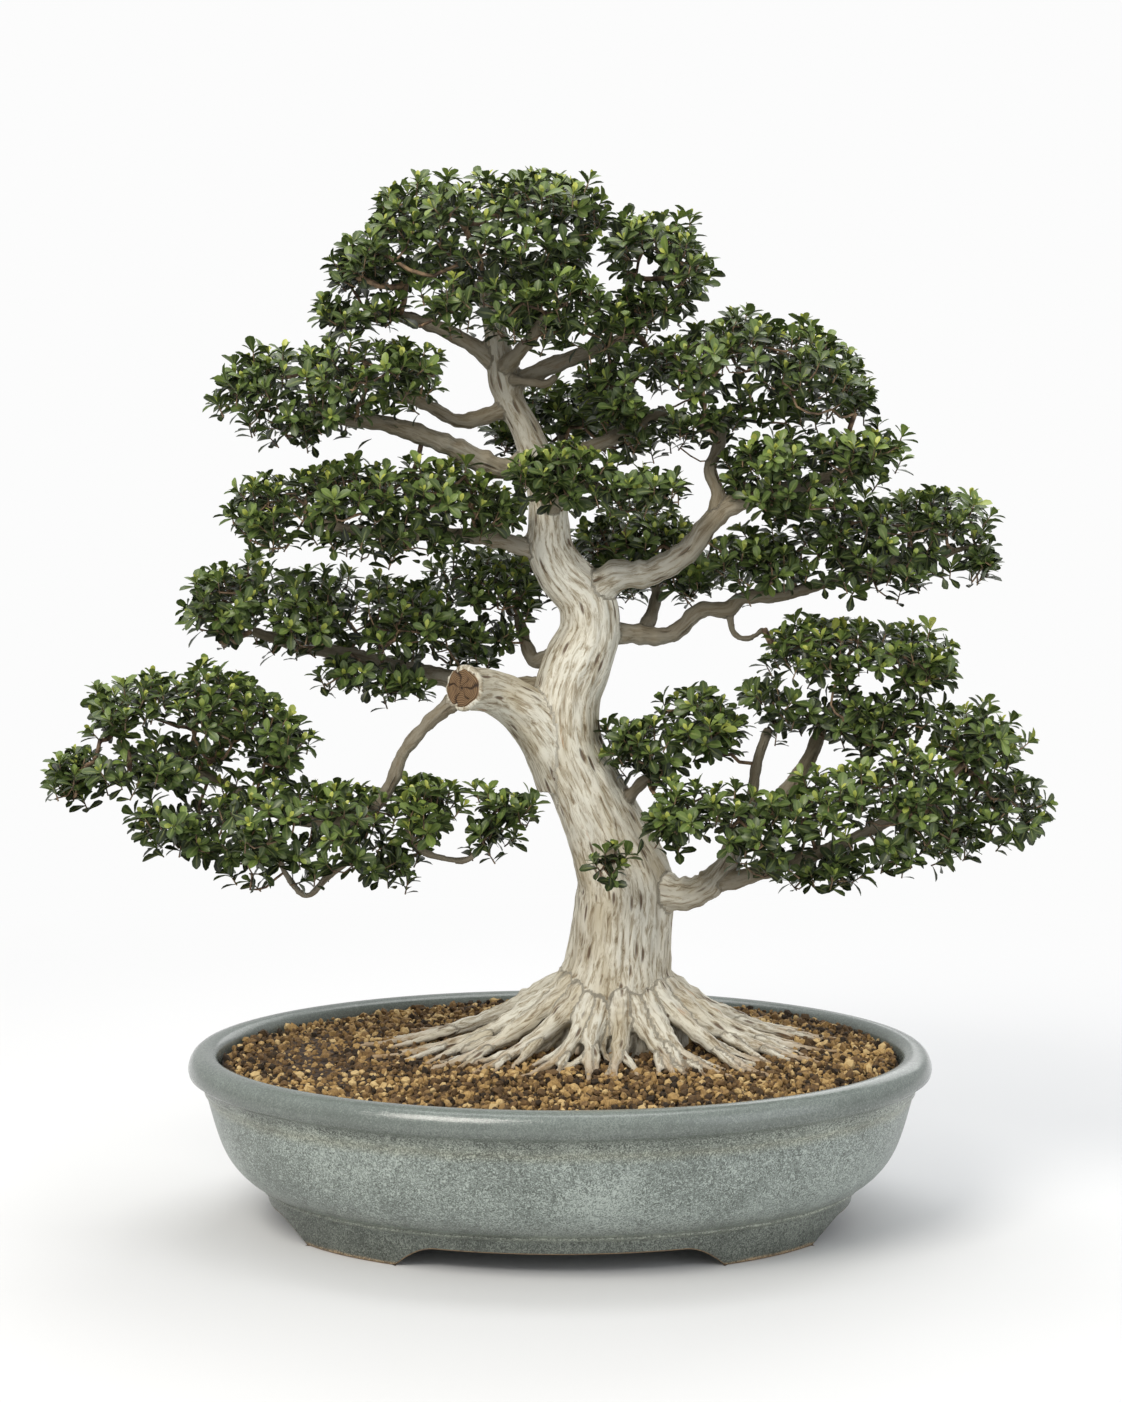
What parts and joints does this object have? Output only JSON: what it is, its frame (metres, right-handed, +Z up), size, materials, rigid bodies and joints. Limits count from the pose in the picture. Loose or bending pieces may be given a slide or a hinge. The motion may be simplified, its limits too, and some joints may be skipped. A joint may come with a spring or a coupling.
{
  "type": "bonsai tree in a pot",
  "caption": "Small-leaved bonsai tree with a curved pale trunk, spreading surface roots and clipped foliage clouds, in an oval glazed pot on four feet.",
  "frame": {"origin": "on the ground under the middle of the whole object's outline, a few millimetres from the pot's own middle", "axes": "+Z up, +X to the right along the pot's long side seen from the front, +Y to the back"},
  "size_m": [0.6026, 0.344, 0.6303],
  "materials": {
    "glazed_stoneware": "satin",
    "clay_granules": "matte",
    "bark": "matte",
    "foliage": "satin",
    "drainage_mesh": "matte",
    "aluminium_wire": "satin"
  },
  "bodies": {
    "root": {"drain_clip_left": "aluminium_wire", "drain_clip_right": "aluminium_wire", "drain_screen_left": "drainage_mesh", "drain_screen_right": "drainage_mesh", "foliage_back_lower": "foliage", "foliage_back_upper": "foliage", "foliage_crown_front": "foliage", "foliage_crown_left": "foliage", "foliage_crown_right": "foliage", "foliage_crown_top": "foliage", "foliage_front_centre": "foliage", "foliage_left_low": "foliage", "foliage_left_low_front": "foliage", "foliage_left_middle": "foliage", "foliage_left_upper": "foliage", "foliage_lower_left_inner": "foliage", "foliage_lower_left_outer": "foliage", "foliage_lower_left_sprig": "foliage", "foliage_lower_right_front": "foliage", "foliage_lower_right_inner": "foliage", "foliage_lower_right_outer": "foliage", "foliage_lower_right_top": "foliage", "foliage_right_middle": "foliage", "foliage_right_middle_back": "foliage", "foliage_right_second": "foliage", "foliage_right_upper": "foliage", "foliage_trunk_sprig": "foliage", "pot": "glazed_stoneware", "soil": "clay_granules", "tie_wire": "aluminium_wire", "tree_wood": "bark"}
  },
  "joints": []
}
